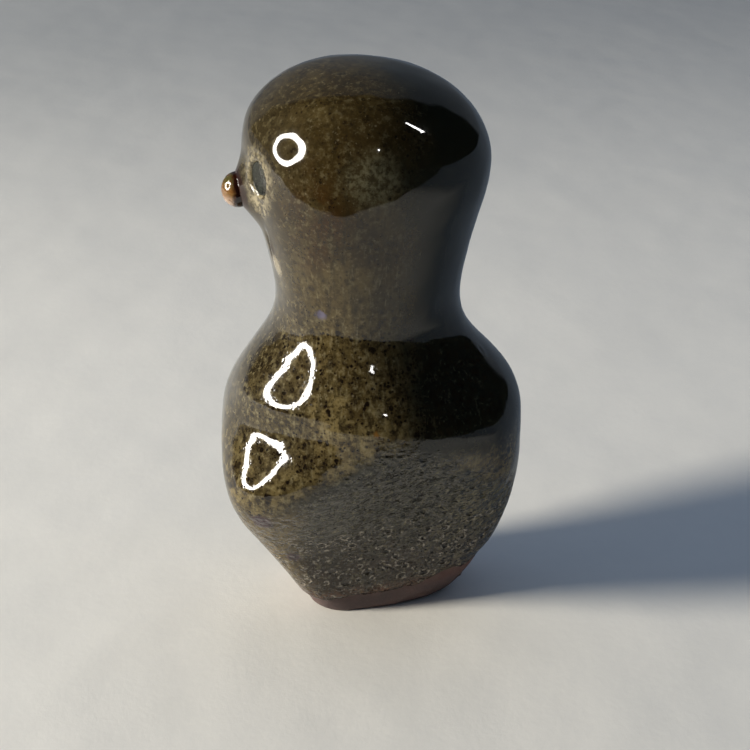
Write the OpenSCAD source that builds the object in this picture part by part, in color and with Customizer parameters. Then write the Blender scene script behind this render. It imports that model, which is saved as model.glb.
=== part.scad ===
// Small stoneware bird figurine: two clay lumps luted at the neck, a thin glass
// coat over all but the foot, pressed eyes filled with pooled glaze, a bead beak.
// Millimetres. The bird faces -Y, +Z is up, and the floor is z = 0.
// The origin is on the floor under the middle of the body.
// Lengths run front to back, widths side to side, both over the glaze.

/* [Overall] */
// Height from the floor to the crown, over the glaze
height = 75; // [68:0.5:90]
// Thickness of the glaze coat
glaze = 0.5; // [0.35:0.05:0.7]

/* [Foot] */
// Length of the flat clay foot
foot_length = 20; // [16:0.5:24]
// Width of the foot across its two flat sides
foot_width = 13.4; // [11:0.2:16]
// Width that the foot would have without its flat sides
foot_round_width = 18; // [16.5:0.5:20]
// How far the middle of the foot stands behind the middle of the body
foot_setback = 1.4; // [0:0.1:2.5]

/* [Body] */
// Height of the fullest part of the body
body_level = 25.5; // [23:0.5:28]
// Length of the body at its fullest
body_length = 40.6; // [34:0.2:49]
// Width that the body would have without its pressed flanks
body_round_width = 41.8; // [37:0.2:50]

/* [Flank hollows] */
// Height of the rim of each thumb-pressed hollow
hollow_rim_level = 30.2; // [27:0.2:33]
// Width across the two rims
hollow_rim_width = 33.8; // [29:0.2:38]
// Depth of each hollow at its middle
hollow_depth = 2.4; // [0.5:0.1:3]
// How softly the rim rounds over in the middle of the flank
hollow_rim_round = 1.4; // [0.6:0.1:2.5]
// How much more softly the hollow runs out towards the breast and the back
hollow_side_round = 7; // [4:0.5:10]

/* [Neck] */
// Height of the seam at the narrowest part of the neck
neck_level = 43; // [41:0.5:46]
// Length of the neck
neck_length = 24.2; // [20:0.2:29]
// Width of the neck
neck_width = 23.6; // [19.6:0.2:28.4]

/* [Head] */
// Height of the fullest part of the head
head_level = 64.7; // [61:0.1:66]
// Length of the head
head_length = 30.4; // [25:0.2:36]
// Width of the head
head_width = 30; // [25:0.2:36]
// How far the crown stands in front of the middle of the body
crown_forward = 1.6; // [0.5:0.1:2.5]

/* [Beak] */
// Height of the middle of the beak bead
beak_level = 60.2; // [57:0.1:63]
// Diameter of the bead over its glaze
beak_bead = 4; // [3.4:0.1:4.8]
// Thickness of the honey glaze on the bead
beak_glaze_coat = 0.45; // [0.3:0.05:0.6]
// How far the clay of the face is drawn out behind the bead
pinch_reach = 1.8; // [1:0.1:2.4]
// Radius of the drawn-out clay where it leaves the face
pinch_radius = 5.2; // [4.2:0.1:6]

/* [Eyes] */
// Height of the middle of each eye
eye_level = 63.4; // [62:0.1:65]
// Angle of each eye away from the beak, seen from above
eye_angle = 24; // [22:1:34]
// Diameter of each pressed eye
eye_diameter = 4.2; // [3.4:0.1:4.8]
// Depth of the press below the glaze around it
eye_depth = 1.3; // [1.1:0.1:1.8]
// Depth from the glaze around the eye down to the rim of the pooled glaze
eye_rim_drop = 0.3; // [0.25:0.05:0.4]
// Further drop from that rim to the middle of the pool
eye_pool_dish = 0.4; // [0.2:0.05:0.5]

/* [Glaze line] */
// Height of the lower edge of the glaze along the sides of the foot
glaze_line = 2.9; // [2.2:0.1:4]
// How much higher the edge runs at the back
glaze_line_back_rise = 5; // [0:0.5:6]
// Height of its small waves
glaze_line_wave = 0.35; // [0:0.05:0.6]

/* [Hidden] */

// Mesh of the hand-modelled surfaces
COLUMNS = 48;
BARE_ROWS = 3;
BODY_ROWS = 24;
HEAD_ROWS = 26;
// Degrees by which columns are drawn towards the face, where the detail is
COLUMN_PULL = 20;
ROUND = 48;

// A section is [height, reach to the front, reach to the back, half width,
// squareness], with the reaches measured from the axis under the crown.
function section(z, length, width, setback, squareness) =
    [z, length / 2 - setback, length / 2 + setback, width / 2, squareness];
function mix(a, b, share) = a + (b - a) * share;
function between(low, high, shares) =
    [for (i = [0 : len(low) - 1]) mix(low[i], high[i], shares[i])];
// Control row that makes the smooth curve pass exactly through a section
function passing(wanted, before, after) = (6 * wanted - before - after) / 4;

clay_height = height - glaze;
coat = 2 * glaze;
foot = section(0, foot_length, foot_round_width, crown_forward + foot_setback, 2.2);
body = section(body_level, body_length - coat, body_round_width - coat, crown_forward, 2.1);
neck = section(neck_level, neck_length - coat, neck_width - coat, crown_forward, 2);
head = section(head_level, head_length - coat, head_width - coat, crown_forward, 2.05);
crown = [clay_height, 0, 0, 0, 2];

// Shape of the clay between the named sections, as shares of the way up
flank_low = between(foot, body, [0.20, 0.18, 0.48, 0.70, 0.20]);
flank_high = between(foot, body, [0.55, 0.73, 0.95, 1.05, 0.55]);
shoulder = between(body, neck, [0.40, 0.14, -0.05, 0.18, 0.40]);
nape = between(body, neck, [0.70, 0.67, 0.75, 0.69, 0.70]);
throat = between(neck, head, [0.25, -0.09, -0.10, 0.34, 0.25]);
cheek = between(neck, head, [0.62, 0.44, 0.54, 0.49, 0.62]);
brow = between(head, crown, [0.84, 0.22, 0.28, 0.14, 0.50]);
crown_row = [(6 * clay_height - 2 * brow[0]) / 4, 0, 0, 0, 2];

ROWS = [
    foot, flank_low, flank_high, passing(body, flank_high, shoulder),
    shoulder, nape, passing(neck, nape, throat),
    throat, cheek, passing(head, cheek, brow),
    brow, crown_row
];
NECK_ROW = 6;
CROWN_ROW = len(ROWS) - 1;
// One more row at each end lets the curve start at the foot and close at the crown
KNOTS = concat(
    [2 * foot - flank_low],
    ROWS,
    [[brow[0], -brow[1], -brow[2], -brow[3], brow[4]]]
);

// Section of the clay at row v, along a uniform cubic B-spline
function section_at(v) =
    let (
        i = max(0, min(floor(v), CROWN_ROW - 1)),
        t = v - i,
        w0 = pow(1 - t, 3),
        w1 = 3 * pow(t, 3) - 6 * pow(t, 2) + 4,
        w3 = pow(t, 3),
        w2 = 6 - w0 - w1 - w3
    )
    (w0 * KNOTS[i] + w1 * KNOTS[i + 1] + w2 * KNOTS[i + 2] + w3 * KNOTS[i + 3]) / 6;

// Row at which the clay reaches height z, by halving
function row_at(z, low = 0, high = CROWN_ROW, steps = 18) =
    let (middle = (low + high) / 2)
    steps == 0 ? middle
    : section_at(middle)[0] < z ? row_at(z, middle, high, steps - 1)
    : row_at(z, low, middle, steps - 1);

// Smooth minimum of two lengths, rounded over the given width
function soft_min(a, b, width) =
    let (h = max(width - abs(a - b), 0) / width)
    min(a, b) - h * h * width / 4;

// Radius of the oval of a section, at a degrees away from the front
TINY = 0.000001;
function oval_radius(s, a) =
    let (
        reach = max((s[1] + s[2]) / 2 + (s[1] - s[2]) / 2 * cos(a), TINY),
        half = max(s[3], TINY)
    )
    pow(pow(abs(sin(a)) / half, s[4]) + pow(abs(cos(a)) / reach, s[4]), -1 / s[4]);

// Half width left by the thumb at height z
function pressed_half_width(z) =
    let (up = z / hollow_rim_level)
    mix(foot_width / 2, hollow_rim_width / 2 - glaze, up)
    - hollow_depth * sin(180 * min(max(up, 0), 1));

// Clay drawn out of the face behind the bead
function pinch(r, z, a) =
    let (
        sideways = r * (a > 180 ? a - 360 : a) * PI / 180,
        away = norm([sideways, z - beak_level]) / pinch_radius
    )
    away < 1 ? pinch_reach * pow(1 - away, 1.5) : 0;

function clay_radius(s, a) =
    let (
        r = oval_radius(s, a),
        flat = pressed_half_width(s[0]) / max(abs(sin(a)), 0.001),
        softness = hollow_rim_round + hollow_side_round * pow(cos(a), 2)
    )
    soft_min(r, flat, softness) + pinch(r, s[0], a);

function clay_point(v, a) =
    let (s = section_at(v), r = clay_radius(s, a))
    [r * sin(a), -crown_forward - r * cos(a), s[0]];

// Outward direction of the clay, from its slopes up and around
STEP_UP = 0.02;
STEP_AROUND = 1;
function clay_normal(v, a) =
    let (
        up = clay_point(v + STEP_UP, a) - clay_point(v - STEP_UP, a),
        around = clay_point(v, a + STEP_AROUND) - clay_point(v, a - STEP_AROUND),
        n = cross(around, up)
    )
    n / norm(n);

function glaze_point(v, a, share = 1) =
    clay_point(v, a) + share * glaze * clay_normal(v, a);

// Height of the wavy lower edge of the glaze
WAVES = 5;
function glaze_edge(a) =
    glaze_line
    + glaze_line_back_rise * pow(max(-cos(a), 0), 3)
    + glaze_line_wave * sin(WAVES * a);

// Columns run once around from the front towards the bird's left side
ANGLES = [
    for (k = [0 : COLUMNS - 1])
        let (t = 360 * k / COLUMNS)
        t - COLUMN_PULL * sin(t)
];
EDGE_ROW = [for (a = ANGLES) row_at(glaze_edge(a))];

// Rings of the body from the floor to the neck, with one ring on the glaze edge
function body_row(ring, column) =
    ring <= BARE_ROWS
    ? EDGE_ROW[column] * ring / BARE_ROWS
    : mix(EDGE_ROW[column], NECK_ROW, (ring - BARE_ROWS) / BODY_ROWS);
function head_row(ring) = mix(NECK_ROW, CROWN_ROW, ring / HEAD_ROWS);

BODY_RINGS = [
    for (ring = [0 : BARE_ROWS + BODY_ROWS])
        [for (k = [0 : COLUMNS - 1]) clay_point(body_row(ring, k), ANGLES[k])]
];
// The head's last row is the crown itself, one point
HEAD_RINGS = [
    for (ring = [0 : HEAD_ROWS - 1])
        [for (a = ANGLES) clay_point(head_row(ring), a)]
];
CROWN_POINT = [0, -crown_forward, clay_height];

// The coat thins to a rolled edge at the foot
EDGE_SHARE = 0.6;
COAT_RINGS = concat(
    [[for (k = [0 : COLUMNS - 1]) glaze_point(EDGE_ROW[k], ANGLES[k], EDGE_SHARE)]],
    [
        for (ring = [BARE_ROWS + 1 : BARE_ROWS + BODY_ROWS])
            [for (k = [0 : COLUMNS - 1]) glaze_point(body_row(ring, k), ANGLES[k])]
    ],
    [
        for (ring = [1 : HEAD_ROWS - 1])
            [for (a = ANGLES) glaze_point(head_row(ring), a)]
    ]
);
UNDER_COAT_RINGS = concat(
    [for (ring = [BARE_ROWS : BARE_ROWS + BODY_ROWS]) BODY_RINGS[ring]],
    [for (ring = [1 : HEAD_ROWS - 1]) HEAD_RINGS[ring]]
);

function flatten(lists) = [for (list = lists) each list];
// Faces between neighbouring rings, seen from outside when the rings go up
function side_faces(rings, first = 0) = [
    for (r = [0 : rings - 2], k = [0 : COLUMNS - 1])
        let (
            here = first + r * COLUMNS,
            next = (k + 1) % COLUMNS,
            a = here + k,
            b = here + next
        )
        each [[a, a + COLUMNS, b], [b, a + COLUMNS, b + COLUMNS]]
];
// Faces from the last ring up to a single point
function fan_faces(ring_start, point) = [
    for (k = [0 : COLUMNS - 1])
        [ring_start + k, point, ring_start + (k + 1) % COLUMNS]
];
function turned(faces) = [for (f = faces) [for (i = [len(f) - 1 : -1 : 0]) f[i]]];

module body_clay() {
    rings = len(BODY_RINGS);
    floor_face = [for (k = [0 : COLUMNS - 1]) k];
    seam_face = [for (k = [COLUMNS - 1 : -1 : 0]) (rings - 1) * COLUMNS + k];
    color([0.30, 0.20, 0.19])
        polyhedron(flatten(BODY_RINGS), concat([floor_face, seam_face], side_faces(rings)));
}

// Cuts taken out of the head and its coat for the bead and the eyes
BEAD_ROW = row_at(beak_level);
BEAD_CENTRE = clay_point(BEAD_ROW, 0);
module bead_seat() {
    translate(BEAD_CENTRE)
        sphere(d = beak_bead, $fn = ROUND);
}

EYE_ROW = row_at(eye_level);
EYE_CLEAR = 2;
// Turns +Z to point out of the face at an eye, and starts at the glaze around it
module at_eye(side) {
    middle = glaze_point(EYE_ROW, eye_angle);
    translate([side * middle[0], middle[1], middle[2]])
        rotate([90, 0, side * eye_angle])
            children();
}
module eye_press(side) {
    at_eye(side)
        translate([0, 0, -eye_depth])
            cylinder(d = eye_diameter, h = eye_depth + EYE_CLEAR, $fn = ROUND);
}
module face_cuts() {
    bead_seat();
    eye_press(1);
    eye_press(-1);
}

module head_clay() {
    rings = len(HEAD_RINGS);
    crown_index = rings * COLUMNS;
    seam_face = [for (k = [0 : COLUMNS - 1]) k];
    color([0.33, 0.22, 0.20])
        difference() {
            polyhedron(
                concat(flatten(HEAD_RINGS), [CROWN_POINT]),
                concat(
                    [seam_face],
                    side_faces(rings),
                    fan_faces(crown_index - COLUMNS, crown_index)
                )
            );
            face_cuts();
        }
}

// One closed skin: the outside, the inside turned over, and the edge at the foot
module glaze_coat() {
    rings = len(COAT_RINGS);
    half = rings * COLUMNS + 1;
    outer_crown = half - 1;
    inner_crown = 2 * half - 1;
    outside = concat(
        side_faces(rings),
        fan_faces(outer_crown - COLUMNS, outer_crown)
    );
    inside = turned(concat(
        side_faces(rings, half),
        fan_faces(inner_crown - COLUMNS, inner_crown)
    ));
    edge = [
        for (k = [0 : COLUMNS - 1])
            let (next = (k + 1) % COLUMNS)
            each [[k, next, half + k], [next, half + next, half + k]]
    ];
    color([0.27, 0.22, 0.12])
        difference() {
            polyhedron(
                concat(
                    flatten(COAT_RINGS), [CROWN_POINT + [0, 0, glaze]],
                    flatten(UNDER_COAT_RINGS), [CROWN_POINT]
                ),
                concat(outside, inside, edge)
            );
            face_cuts();
        }
}

module beak_clay() {
    color([0.42, 0.24, 0.14])
        translate(BEAD_CENTRE)
            sphere(d = beak_bead - 2 * beak_glaze_coat, $fn = ROUND);
}

module beak_glaze() {
    color([0.62, 0.36, 0.12])
        translate(BEAD_CENTRE)
            difference() {
                sphere(d = beak_bead, $fn = ROUND);
                sphere(d = beak_bead - 2 * beak_glaze_coat, $fn = ROUND);
            }
}

// Pool of glass on the floor of the press, with a dished top
module eye_pool(side) {
    rim_height = eye_depth - eye_rim_drop;
    eye_radius = eye_diameter / 2;
    dish_radius = (pow(eye_radius, 2) + pow(eye_pool_dish, 2)) / (2 * eye_pool_dish);
    at_eye(side)
        translate([0, 0, -eye_depth])
            difference() {
                cylinder(d = eye_diameter, h = rim_height, $fn = ROUND);
                translate([0, 0, rim_height - eye_pool_dish + dish_radius])
                    sphere(r = dish_radius, $fn = ROUND);
            }
}
module left_eye_glaze() {
    color([0.16, 0.19, 0.16])
        eye_pool(1);
}
module right_eye_glaze() {
    color([0.16, 0.19, 0.16])
        eye_pool(-1);
}

body_clay();
head_clay();
glaze_coat();
beak_clay();
beak_glaze();
left_eye_glaze();
right_eye_glaze();
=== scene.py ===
"""Small glazed stoneware bird: the looks, built around the packed clay model.

Run as a script. Metres, the same frame as the model: the bird faces -Y, +Z is up.
"""

import math

import bmesh
import bpy
from bpy.props import FloatProperty, FloatVectorProperty, IntProperty, PointerProperty
from mathutils import Matrix, Vector, noise
from mathutils.bvhtree import BVHTree


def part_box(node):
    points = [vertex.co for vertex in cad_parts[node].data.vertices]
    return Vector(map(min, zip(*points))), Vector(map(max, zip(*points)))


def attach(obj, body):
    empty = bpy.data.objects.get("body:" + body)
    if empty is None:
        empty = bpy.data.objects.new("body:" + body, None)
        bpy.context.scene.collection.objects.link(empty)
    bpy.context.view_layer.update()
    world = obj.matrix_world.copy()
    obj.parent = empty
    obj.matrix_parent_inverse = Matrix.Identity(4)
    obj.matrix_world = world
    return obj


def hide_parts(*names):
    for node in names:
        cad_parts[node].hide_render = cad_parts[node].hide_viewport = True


bl_info = {
    "name": "Stoneware Bird",
    "version": (1, 0, 0),
    "blender": (4, 5, 0),
    "location": "3D View > Sidebar > Bird",
    "description": "Glaze, clay, beak, eyes and studio for a small stoneware bird",
    "category": "Object",
}

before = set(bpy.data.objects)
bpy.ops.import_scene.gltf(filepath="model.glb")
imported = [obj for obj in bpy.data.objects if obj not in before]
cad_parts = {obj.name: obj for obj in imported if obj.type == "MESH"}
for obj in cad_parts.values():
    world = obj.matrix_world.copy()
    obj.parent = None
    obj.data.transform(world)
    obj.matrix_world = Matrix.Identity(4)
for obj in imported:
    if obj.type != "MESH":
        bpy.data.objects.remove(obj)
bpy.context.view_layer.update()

MM = 0.001
UP = Vector((0.0, 0.0, 1.0))
FORWARD = Vector((0.0, -1.0, 0.0))
BEAD_LOW, BEAD_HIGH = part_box("beak_glaze")
BEAD_CENTRE = (BEAD_LOW + BEAD_HIGH) / 2
BEAD_RADIUS = (BEAD_HIGH.z - BEAD_LOW.z) / 2
SEAM_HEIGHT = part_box("head_clay")[0].z
CROWN_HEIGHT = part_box("glaze_coat")[1].z
SIDES = {"left": 1.0, "right": -1.0}
# The axis that the clay was turned about stands a little in front of the origin
AXIS_Y = -1.6 * MM
# The foot's own middle stands behind it
FOOT_AXIS_Y = 1.4 * MM
# Radius of a cage before it lands on the model
CAGE_RADIUS = 40 * MM
# How far out the rays start that look for the coat's edge and for the blisters' places
CAST_FROM = 60 * MM


# ---------------------------------------------------------------- sizes and colours


def length(name, description, value):
    return FloatProperty(name=name, description=description, default=value, unit="LENGTH")


def colour(name, description, value):
    return FloatVectorProperty(name=name, description=description, default=value, subtype="COLOR")


class BirdGlazeSettings(bpy.types.PropertyGroup):
    columns: IntProperty(
        name="Columns", description="Points around the glaze coat", default=300, min=48
    )
    wall_rows: IntProperty(
        name="Wall rows", description="Rows from the foot up to the head", default=170, min=24
    )
    dome_rows: IntProperty(
        name="Dome rows", description="Rows over the crown", default=62, min=12
    )
    lump_height: length("Lump height", "Unevenness left by the fingers", 0.09 * MM)
    lump_size: length("Lump size", "Width of those lumps", 7.0 * MM)
    olive: colour("Olive", "Main colour of the glaze", (0.085, 0.062, 0.024))
    # Black green: partly the glaze's own colour, partly painted shade for the side away from the key
    # light
    black_green_and_back_shade: colour("Black green", "Thick dark glaze", (0.010, 0.012, 0.008))
    cream: colour("Cream", "Pale flecks and the marks round the eyes", (0.36, 0.31, 0.20))
    hollow_grey: colour("Hollow grey", "Dull glaze in the pressed flanks", (0.060, 0.058, 0.042))


class BirdFaceSettings(bpy.types.PropertyGroup):
    pinch_reach: length("Pinch reach", "How far the face is drawn out behind the beak", 2.0 * MM)
    pinch_radius: length("Pinch radius", "Where the drawn-out clay leaves the face", 5.2 * MM)
    eye_radius: length("Eye radius", "Radius of each pressed eye", 2.1 * MM)
    eye_depth: length("Eye depth", "Depth of each pressed eye", 0.95 * MM)
    eye_rim: length("Eye rim", "Height of the lip round each eye", 0.16 * MM)
    honey: colour("Honey", "Lit side of the beak glaze", (0.23, 0.13, 0.045))
    # Painted shade: colour of the bead's back, the side away from the key light
    beak_shade_brown: colour("Beak brown", "Thick side of the beak glaze", (0.020, 0.005, 0.003))
    eye_green: colour("Eye green", "Pooled glaze in the eyes", (0.020, 0.023, 0.016))


class BirdClaySettings(bpy.types.PropertyGroup):
    columns: IntProperty(
        name="Columns", description="Points around the clay body", default=200, min=48
    )
    mauve: colour("Mauve", "Fired bare clay", (0.125, 0.074, 0.066))
    rust: colour("Rust", "Iron flash beside the glaze", (0.16, 0.045, 0.020))
    grog: colour("Grog", "Pale grit in the clay", (0.20, 0.15, 0.13))


class BirdStageSettings(bpy.types.PropertyGroup):
    view_angle: FloatProperty(
        name="View angle", description="Camera angle round the bird from its front",
        default=math.radians(79), subtype="ANGLE",
    )
    view_rise: FloatProperty(
        name="View rise", description="Camera angle above the floor",
        default=math.radians(28), subtype="ANGLE",
    )
    view_distance: length("View distance", "Camera to the aimed point", 192.3 * MM)
    lens: FloatProperty(
        name="Lens", description="Focal length in millimetres", default=70.0
    )
    aim: FloatVectorProperty(
        name="Aim", description="Point that the camera looks at", subtype="TRANSLATION",
        default=(0.0, 0.93 * MM, 33.0 * MM),
    )
    lamp_angle: FloatProperty(
        name="Lamp angle", description="Ring lamp angle round the bird from its front",
        default=math.radians(1), subtype="ANGLE",
    )
    lamp_rise: FloatProperty(
        name="Lamp rise", description="Ring lamp angle above the floor",
        default=math.radians(19), subtype="ANGLE",
    )
    lamp_distance: length("Lamp distance", "Ring lamp to the bird", 0.45)
    lamp_strength: FloatProperty(
        name="Lamp strength", description="Brightness of the ring lamp", default=38.0
    )
    key_radius: length("Key radius", "Radius of the light that casts the shadow", 0.085)
    key_distance: length("Key distance", "How far that light stands from the bird", 1.0)
    key_power: FloatProperty(
        name="Key power", description="Power of that light in watts", default=16.6
    )
    paper: colour("Paper", "Colour of the floor", (0.80, 0.79, 0.76))


# ---------------------------------------------------------------- mesh helpers


def model_tree(*nodes):
    """A search tree over the faces of some of the model's nodes."""
    points, faces = [], []
    for name in nodes:
        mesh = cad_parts[name].data
        start = len(points)
        points.extend(v.co.copy() for v in mesh.vertices)
        faces.extend([start + i for i in p.vertices] for p in mesh.polygons)
    return BVHTree.FromPolygons(points, faces)


def chain(bm, points):
    """Vertices at the points, joined in a row by edges."""
    verts = [bm.verts.new(p) for p in points]
    edges = [bm.edges.new(pair) for pair in zip(verts, verts[1:])]
    return verts + edges


def spin_closed(bm, points, steps, axis_y=0.0):
    """A closed shape turned from a chain of points about a vertical axis."""
    geometry = chain(bm, points)
    bmesh.ops.spin(
        bm, geom=geometry, cent=(0, axis_y, 0), axis=UP, dvec=(0, 0, 0),
        angle=math.tau, steps=steps, use_merge=True, use_duplicate=False,
    )
    bmesh.ops.remove_doubles(bm, verts=bm.verts, dist=0.0005 * MM)


def cage_points(axis_y, radius, centre_height, heights, dome_rows):
    """Side view of a round cage: a straight wall, then a quarter circle to the pole."""
    wall = [Vector((radius, axis_y, z)) for z in heights]
    dome = []
    for i in range(1, dome_rows + 1):
        angle = math.pi / 2 * i / dome_rows
        reach = radius * math.cos(angle) if i < dome_rows else 0.0
        dome.append(Vector((reach, axis_y, centre_height + radius * math.sin(angle))))
    return wall + dome


def land(bm, tree, axis_y, centre_height):
    """Moves every cage point straight in, towards the bird's axis, onto the model."""
    for vert in bm.verts:
        inner = Vector((0, axis_y, min(vert.co.z, centre_height)))
        hit = tree.ray_cast(vert.co, (inner - vert.co).normalized())[0]
        if hit is None:
            raise RuntimeError("a cage point found no surface to land on")
        vert.co = hit


def relax(bm, verts, times):
    """Evens out the facets of the model under a fine mesh."""
    for _ in range(times):
        bmesh.ops.smooth_vert(
            bm, verts=verts, factor=0.5, use_axis_x=True, use_axis_y=True, use_axis_z=True
        )


def smooth_step(low, high, x):
    t = min(max((x - low) / (high - low), 0.0), 1.0)
    return t * t * (3 - 2 * t)


def rough(point, size, seed=0.0):
    """Soft noise from -1 to 1 with features of about the given size."""
    return noise.noise(point / size + Vector((seed, seed * 0.7, -seed)))


def finish_piece(bm, name, material, slot, *replaced):
    """Makes the object from a finished bmesh and tells the frame about it."""
    bmesh.ops.recalc_face_normals(bm, faces=bm.faces)
    mesh = bpy.data.meshes.new(name)
    bm.to_mesh(mesh)
    bm.free()
    mesh.polygons.foreach_set("use_smooth", [True] * len(mesh.polygons))
    mesh.materials.append(material)
    piece = bpy.data.objects.new(name, mesh)
    bpy.context.scene.collection.objects.link(piece)
    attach(piece, "root")
    if replaced:
        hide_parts(*replaced)
    return piece


# ---------------------------------------------------------------- face


def eye_frame(side):
    """Middle of an eye on the glaze, and its outward direction."""
    low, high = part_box(side + "_eye_glaze")
    pool = (low + high) / 2
    outward = Vector((pool.x, pool.y + 0.0005, 0.0))
    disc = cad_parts[side + "_eye_glaze"].data
    total = Vector()
    for face in disc.polygons:
        if abs(face.normal.z) < 0.2 and face.normal.dot(outward) > 0:
            total += face.normal * face.area
    outward = Vector((total.x, total.y, 0.0)).normalized()
    tree = model_tree("glaze_coat")
    start = pool + outward * 20 * MM
    rim = []
    for turn in range(12):
        angle = math.tau * turn / 12
        sideways = UP.cross(outward) * math.cos(angle) + UP * math.sin(angle)
        hit = tree.ray_cast(start + sideways * 2.6 * MM, -outward)[0]
        rim.append((hit - pool).dot(outward))
    return pool + outward * (sum(rim) / len(rim)), outward


def disc_place(point, middle, outward):
    """Distance of a point from the line through an eye or the bead."""
    away = point - middle
    return (away - outward * away.dot(outward)).length


def fill_opening(bm, middle, outward, radius, bulge, times):
    """Closes a cut in the coat with an even skin, a little rounded like the face."""
    near = [
        v for v in bm.verts
        if disc_place(v.co, middle, outward) < radius
        and (v.co - middle).length < 3 * radius
        and (v.co - middle).dot(outward) > -2 * radius
    ]
    relax(bm, near, times)
    for vert in near:
        share = disc_place(vert.co, middle, outward) / radius
        vert.co += outward * bulge * (1 - share * share)


def press_eyes(bm, face):
    """Two round presses, each with steep walls and a thin raised lip."""
    for side in SIDES:
        middle, outward = eye_frame(side)
        for vert in bm.verts:
            if (vert.co - middle).length > 4 * MM:
                continue
            away = disc_place(vert.co, middle, outward)
            wall = 1 - smooth_step(0.74 * face.eye_radius, 1.06 * face.eye_radius, away)
            lip = math.exp(-(((away - 1.16 * face.eye_radius) / (0.35 * MM)) ** 2))
            vert.co += outward * (face.eye_rim * lip - face.eye_depth * wall)


def draw_out_beak(bm, face):
    """Pinches the face forward into a cone behind the bead."""
    for vert in bm.verts:
        if vert.co.y > 0:
            continue
        away = disc_place(vert.co, BEAD_CENTRE, FORWARD) / face.pinch_radius
        if away < 1:
            vert.co += FORWARD * face.pinch_reach * (1 - away) ** 1.6


def cut_throat_notch(bm):
    """A short crack under the chin, with a pale lip beside it."""
    middle = Vector((3.2, -12.4, 54.0)) * MM
    for vert in bm.verts:
        away = vert.co - middle
        if away.length > 4 * MM:
            continue
        along = away.z / (1.5 * MM)
        across = (away.x - 0.25 * away.z) / (0.42 * MM)
        groove = math.exp(-across * across) * math.exp(-along * along)
        lip = math.exp(-((across - 2.0) ** 2)) * math.exp(-along * along)
        vert.co -= FORWARD * MM * (0.55 * groove - 0.14 * lip)


# ---------------------------------------------------------------- hand shaping


# Swell of the left front flank: height and how far it stands out, in millimetres
SWELL = (
    (43.8, 0.0), (41.2, 0.2), (39, 0.7), (37, 0.65), (35.2, 0.0), (33.5, -1.1), (31.8, -1.55),
    (30, -0.75), (28, 0.9), (26, 2.1), (24, 2.5), (18, 1.5), (10, 0.0),
)
SWELL_ANGLE, SWELL_SPREAD, SWELL_LEAN = 46, 38, 0.03
# Finger dents and swellings: angle from the front, spread, height, size, depth and lean
DENTS = (
    (46, 30, 28.5, 4.0, -1.2, 0.05),
    (42, 24, 27.0, 4.5, -1.3, 0.05),
    (46, 22, 37.0, 4.5, -0.9, 0.0),
    (48, 40, 41.8, 2.5, 0.3, 0.0),
    (-10, 28, 25.0, 9.0, -0.85, 0.0),
    (-52, 34, 33.0, 5.0, -0.7, 0.0),
    (-60, 30, 25.0, 5.0, 0.5, 0.0),
    (165, 45, 34.0, 9.0, 0.05, 0.0),
    (165, 45, 22.0, 4.0, 0.2, 0.0),
    (-10, 50, 69.0, 4.0, 0.6, 0.0),
    (38, 60, 66.5, 5.0, -0.15, 0.0),
)


def profile_at(points, height):
    """Smooth curve through a short list of points, flat at both ends."""
    if height >= points[0][0] or height <= points[-1][0]:
        return 0.0
    k = next(i for i in range(len(points)) if points[i + 1][0] < height)
    (z0, d0), (z1, d1) = points[k], points[k + 1]
    t = (z0 - height) / (z0 - z1)
    before = points[max(k - 1, 0)]
    after = points[min(k + 2, len(points) - 1)]
    m0 = (d1 - before[1]) / (before[0] - z1) * (z0 - z1) if k else 0.0
    m1 = (after[1] - d0) / (z0 - after[0]) * (z0 - z1) if k < len(points) - 2 else 0.0
    rise = (2 * t**3 - 3 * t**2 + 1) * d0 + (3 * t**2 - 2 * t**3) * d1
    return rise + (t**3 - 2 * t**2 + t) * m0 + (t**3 - t**2) * m1


def press_flanks(bm):
    """The swell and the finger dents, pressed alike into every layer of the bird."""
    for vert in bm.verts:
        out = Vector((vert.co.x, vert.co.y - AXIS_Y, 0.0))
        angle = math.degrees(math.atan2(out.x, -out.y))
        height = vert.co.z / MM
        turn = (angle - SWELL_ANGLE + 180) % 360 - 180
        share = math.exp(-((turn / SWELL_SPREAD) ** 2))
        move = share * profile_at(SWELL, height - SWELL_LEAN * turn)
        for middle, spread, level, size, depth, lean in DENTS:
            turn = (angle - middle + 180) % 360 - 180
            up = (height - level - lean * turn) / size
            move += depth * math.exp(-((turn / spread) ** 2) - up * up)
        if out.length > MM:
            vert.co += out.normalized() * move * MM


# ---------------------------------------------------------------- glaze coat


# Angle from the front in degrees, then height, radius and rise in millimetres
BLISTERS = [
    (53, 47.4, 0.75, 0.10),
    (37, 19.5, 0.80, 0.08),
    (38, 12.0, 0.70, 0.08),
    (50, 15.2, 0.55, 0.10),
    (40, 13.2, 0.50, 0.09),
    (-70, 46.0, 0.60, 0.08),
    (160, 38.0, 0.70, 0.08),
    (-150, 18.0, 0.60, 0.08),
]


def raise_blisters(bm, tree):
    """Small burst bubbles: a low ring round a shallow crater."""
    for angle, height, radius, rise in BLISTERS:
        turn = math.radians(angle)
        out = Vector((math.sin(turn), -math.cos(turn), 0.0))
        start = Vector((0, 0, height * MM)) + out * CAST_FROM
        middle = tree.ray_cast(start, -out)[0]
        for vert in bm.verts:
            away = (vert.co - middle).length
            if away < 2.5 * radius * MM:
                ring = math.exp(-(((away / (radius * MM)) - 1) / 0.35) ** 2)
                pit = math.exp(-((away / (0.55 * radius * MM)) ** 2))
                vert.co += out * MM * (rise * ring - 0.8 * rise * pit)


def edge_heights(tree, columns, axis_y):
    """Lowest height of the coat at each column, found by halving."""
    heights = []
    for k in range(columns):
        turn = math.tau * k / columns
        out = Vector((math.cos(turn), math.sin(turn), 0.0))
        low, high = 0.0, 12 * MM
        for _ in range(14):
            middle = (low + high) / 2
            start = Vector((0, axis_y, middle)) + out * CAST_FROM
            if tree.ray_cast(start, -out)[0] is None:
                low = middle
            else:
                high = middle
        heights.append(high)
    return heights


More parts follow.
